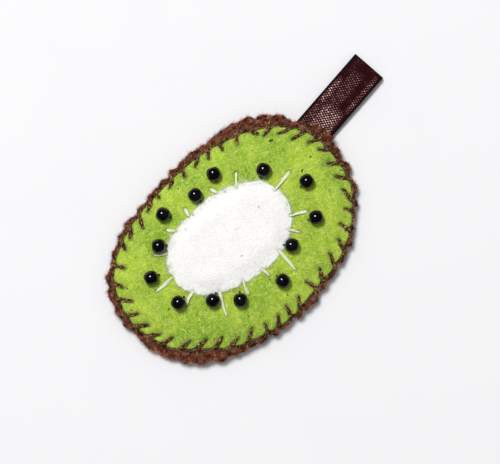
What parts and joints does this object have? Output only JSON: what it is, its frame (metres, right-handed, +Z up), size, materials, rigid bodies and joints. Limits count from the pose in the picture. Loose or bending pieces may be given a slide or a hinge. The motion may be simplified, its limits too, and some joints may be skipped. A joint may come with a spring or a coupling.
{
  "type": "felt kiwi slice key fob",
  "caption": "Hand-sewn padded felt kiwi slice with bead seeds, a white core, a stitched brown edge and a folded ribbon loop.",
  "frame": {"origin": "middle of the flat underside of the back felt", "axes": "+X along the oval's length towards the ribbon, +Z up out of the green face, +Y to the left of +X seen from above"},
  "size_m": [0.0978, 0.0553, 0.0106],
  "materials": {
    "brown_felt": "matte wool-like felt with a fuzzy cut edge",
    "wadding": "soft matte polyester wadding",
    "green_felt": "matte felt, slightly mottled",
    "white_felt": "matte felt",
    "brown_thread": "stranded cotton thread, low sheen",
    "white_thread": "stranded cotton thread, low sheen",
    "black_thread": "matte sewing thread",
    "black_glass": "polished opaque black",
    "satin_ribbon": "satin weave with bright glints"
  },
  "bodies": {
    "root": {"back_felt": "brown_felt", "wadding": "wadding", "front_felt": "green_felt", "core_felt": "white_felt", "edge_thread": "brown_thread", "core_thread": "white_thread", "bead_thread": "black_thread", "ribbon": "satin_ribbon", "bead_01": "black_glass", "bead_02": "black_glass", "bead_03": "black_glass", "bead_04": "black_glass", "bead_05": "black_glass", "bead_06": "black_glass", "bead_07": "black_glass", "bead_08": "black_glass", "bead_09": "black_glass", "bead_10": "black_glass", "bead_11": "black_glass", "bead_12": "black_glass", "bead_13": "black_glass"}
  },
  "joints": []
}
